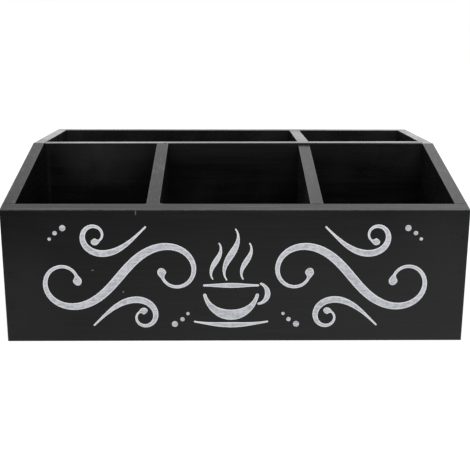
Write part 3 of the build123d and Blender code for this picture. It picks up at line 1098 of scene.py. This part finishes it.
class ORGANIZER_OT_stage(bpy.types.Operator):
    """Sets the white floor, the soft light and the camera"""

    bl_idname = "organizer.stage"
    bl_label = "Set the Stage"

    def execute(self, context):
        settings = context.scene.organizer_stage
        self.add_floor(settings)
        self.add_world(context.scene, settings)
        self.add_lamp(context.scene, settings)
        self.add_camera(context.scene, settings)
        context.scene.view_settings.view_transform = "Standard"
        return {"FINISHED"}

    def add_floor(self, settings):
        """A floor that is open where the box stands, so the underside can be looked at too."""
        mesh = bmesh.new()
        bmesh.ops.create_grid(mesh, x_segments=1, y_segments=1, size=settings.floor_size / 2)
        low, high = (corner.xy.to_3d() * FLOOR_OPENING for corner in cad_box)
        for corner, way in ((low, (1, 0, 0)), (low, (0, 1, 0)), (high, (1, 0, 0)), (high, (0, 1, 0))):
            whole = mesh.verts[:] + mesh.edges[:] + mesh.faces[:]
            bmesh.ops.bisect_plane(mesh, geom=whole, plane_co=corner, plane_no=way)
        middle = min(mesh.faces, key=lambda face: face.calc_center_median().length)
        bmesh.ops.delete(mesh, geom=[middle], context="FACES")
        floor = new_object("floor", mesh, self.floor_material(settings))

    def floor_material(self, settings):
        """White to the camera with a faint shadow, dimmer away from the box in reflections, and
        clear from beneath."""
        made = bpy.data.materials.new("pale_floor")
        tree = cleared_tree(made)
        seen = tree.nodes.new("ShaderNodeLightPath").outputs
        white = add_node(tree, "ShaderNodeEmission", {"Strength": FLOOR_LIGHT}).outputs[0]
        shaded = add_node(tree, "ShaderNodeBsdfDiffuse", {"Color": FLOOR_GREY}).outputs[0]
        to_camera = add_node(tree, "ShaderNodeAddShader", {0: white, 1: shaded}).outputs[0]
        glow = self.floor_glow(tree, settings)
        in_gloss = add_node(tree, "ShaderNodeEmission", {"Strength": glow}).outputs[0]
        bounce = add_node(tree, "ShaderNodeBsdfDiffuse", {"Color": FLOOR_BOUNCE_GREY}).outputs[0]
        others = mix_shaders(tree, seen["Is Glossy Ray"], bounce, in_gloss)
        whole = mix_shaders(tree, seen["Is Camera Ray"], others, to_camera)
        beneath = tree.nodes.new("ShaderNodeNewGeometry").outputs["Backfacing"]
        clear = tree.nodes.new("ShaderNodeBsdfTransparent").outputs[0]
        whole = mix_shaders(tree, beneath, whole, clear)
        output = tree.nodes.new("ShaderNodeOutputMaterial")
        tree.links.new(whole, output.inputs["Surface"])
        return made

    def floor_glow(self, tree, settings):
        """The floor's level in the gloss, by where on the floor it is looked at."""
        place = object_place(tree)
        parts = axes(tree, place)
        before = maths(tree, "MULTIPLY_ADD", parts["X"], FLOOR_FRONT_LEAN, settings.front_level)
        far = rescale(tree, parts["Y"], FLOOR_DEPTH_RANGE, (before, settings.backdrop_level))
        share = rescale(tree, length(tree, place), FLOOR_DISTANCE_RANGE)
        share = maths(tree, "POWER", share, FLOOR_DISTANCE_POWER)
        glow = between(tree, share, FLOOR_NEAR_LEVEL, far)
        to_right = maths(tree, "MULTIPLY_ADD", parts["X"], FLOOR_RIGHT_LEAN, 1.0)
        return maths(tree, "MULTIPLY", glow, to_right)

    def add_world(self, scene, settings):
        """White to the camera. In the gloss it is white behind the box and dim before it."""
        world = bpy.data.worlds.new("studio")
        tree = cleared_tree(world)
        seen = tree.nodes.new("ShaderNodeLightPath").outputs
        mirrored = maths(tree, "ADD", seen["Is Glossy Ray"], seen["Is Transmission Ray"], clamp=True)
        level = between(tree, mirrored, settings.room_level, self.room_glow(tree, settings))
        level = between(tree, seen["Is Camera Ray"], level, 1.0)
        inputs = {"Color": (1.0, 1.0, 1.0, 1.0), "Strength": level}
        light = add_node(tree, "ShaderNodeBackground", inputs).outputs[0]
        output = tree.nodes.new("ShaderNodeOutputWorld")
        tree.links.new(light, output.inputs["Surface"])
        scene.world = world

    def room_glow(self, tree, settings):
        """The room's level in the gloss, by the direction that is looked in."""
        way = axes(tree, tree.nodes.new("ShaderNodeTexCoord").outputs["Generated"])
        before = maths(tree, "MULTIPLY_ADD", way["Z"], ROOM_FRONT_RISE, settings.front_level)
        behind = maths(tree, "MULTIPLY_ADD", way["Z"], ROOM_BACKDROP_RISE, settings.backdrop_level)
        at_left = rescale(tree, way["X"], ROOM_LEFT_RANGE, ROOM_LEFT_GAINS)
        at_right = rescale(tree, way["X"], ROOM_RIGHT_RANGE, ROOM_RIGHT_GAINS)
        low_gain = maths(tree, "MAXIMUM", at_left, at_right)
        gain = rescale(tree, way["Z"], ROOM_HEIGHT_RANGE, (low_gain, ROOM_HIGH_GAIN))
        behind = maths(tree, "MULTIPLY", behind, gain)
        glow = rescale(tree, way["Y"], ROOM_DEPTH_RANGE, (before, behind))
        lean = maths(tree, "MULTIPLY_ADD", way["Z"], settings.right_gain, ROOM_LEAST_LEAN)
        to_right = maths(tree, "MULTIPLY_ADD", way["X"], lean, 1.0)
        return maths(tree, "MULTIPLY", glow, to_right)

    def add_lamp(self, scene, settings):
        """One large soft lamp, aimed at the middle of the box."""
        data = bpy.data.lights.new("soft_lamp", "AREA")
        data.size = settings.lamp_size
        data.energy = settings.lamp_power
        lamp = bpy.data.objects.new("soft_lamp", data)
        lamp.location = settings.lamp_place
        aim = Vector((0, 0, cad_box[1].z / 2)) - Vector(settings.lamp_place)
        lamp.rotation_euler = aim.to_track_quat("-Z", "Y").to_euler()
        scene.collection.objects.link(lamp)

    def add_camera(self, scene, settings):
        """The camera, turned from looking along the box's depth."""
        data = bpy.data.cameras.new("camera")
        data.lens = settings.lens
        data.sensor_width = CAMERA_SENSOR
        data.clip_start = CAMERA_NEAREST
        camera = bpy.data.objects.new("camera", data)
        turn = Matrix.Rotation(-settings.camera_yaw, 4, "Z")
        tilt = Matrix.Rotation(pi / 2 - settings.camera_pitch, 4, "X")
        lean = Matrix.Rotation(settings.camera_roll, 4, "Z")
        camera.matrix_world = Matrix.Translation(settings.camera_place) @ turn @ tilt @ lean
        scene.collection.objects.link(camera)
        scene.camera = camera


class ORGANIZER_PT_panel(bpy.types.Panel):
    """Lists the steps that dress the box"""

    bl_idname = "ORGANIZER_PT_panel"
    bl_label = "Organizer Box"
    bl_space_type = "VIEW_3D"
    bl_region_type = "UI"
    bl_category = "Organizer"

    def draw(self, context):
        for step in OPERATORS:
            self.layout.operator(step.bl_idname)
        for name in SETTINGS:
            settings = getattr(context.scene, name)
            column = self.layout.column()
            for field in settings.bl_rna.properties.keys():
                if field not in ("rna_type", "name"):
                    column.prop(settings, field)


SETTINGS = {
    "organizer_black": BlackPaintSettings,
    "organizer_scroll": ScrollSettings,
    "organizer_filler": FillerSettings,
    "organizer_stage": StageSettings,
}
OPERATORS = (
    ORGANIZER_OT_black_boards,
    ORGANIZER_OT_brads,
    ORGANIZER_OT_corner_filler,
    ORGANIZER_OT_scroll,
    ORGANIZER_OT_stage,
)
CLASSES = (*SETTINGS.values(), *OPERATORS, ORGANIZER_PT_panel)


def register():
    for cls in CLASSES:
        bpy.utils.register_class(cls)
    for name, group in SETTINGS.items():
        setattr(bpy.types.Scene, name, PointerProperty(type=group))


def unregister():
    for name in SETTINGS:
        delattr(bpy.types.Scene, name)
    for cls in reversed(CLASSES):
        bpy.utils.unregister_class(cls)


def main():
    register()
    bpy.ops.organizer.black_boards()
    bpy.ops.organizer.brads()
    bpy.ops.organizer.corner_filler()
    bpy.ops.organizer.scroll()
    bpy.ops.organizer.stage()


if __name__ == "__main__":
    main()
